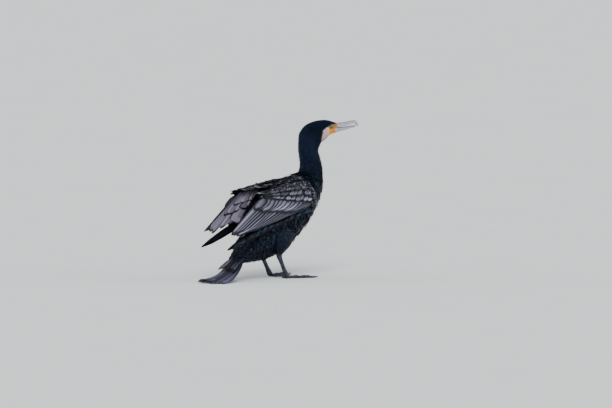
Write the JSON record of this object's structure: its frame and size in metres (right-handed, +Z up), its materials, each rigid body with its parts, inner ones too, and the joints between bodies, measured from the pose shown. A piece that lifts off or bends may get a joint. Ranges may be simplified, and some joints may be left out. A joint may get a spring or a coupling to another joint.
{
  "type": "great cormorant",
  "caption": "Life-size great cormorant standing on its webbed feet, neck up, hooked bill a little open, folded wings held loosely off its back, tail laid on the floor.",
  "frame": {"origin": "on the floor, under the middle of the box round the whole bird", "axes": "+X forward, the way the breast faces and from tail tip to bill; +Y to the bird's left; +Z up"},
  "size_m": [0.542, 0.1676, 0.4513],
  "materials": {
    "plumage": "glossy blue-black body feathers",
    "wing_plumage": "bronze to violet-grey coverts with black edges",
    "flight_feathers": "dark grey vanes with paler shafts",
    "bill_horn": "pale grey horn",
    "face_skin": "bare yellow-orange skin",
    "foot_skin": "black scaled skin",
    "eye": "wet emerald green"
  },
  "bodies": {
    "root": {"head": "plumage", "neck_lower": "plumage", "neck_upper": "plumage", "torso": "plumage", "thigh_left": "plumage", "thigh_right": "plumage", "wing_arm_left": "wing_plumage", "wing_arm_right": "wing_plumage", "wing_hand_left": "flight_feathers", "wing_hand_right": "flight_feathers", "tail": "flight_feathers", "bill_upper": "bill_horn", "bill_lower": "bill_horn", "throat_skin": "face_skin", "eye_left": "eye", "eye_right": "eye", "shank_left": "foot_skin", "shank_right": "foot_skin", "foot_left": "foot_skin", "foot_right": "foot_skin"}
  },
  "joints": []
}
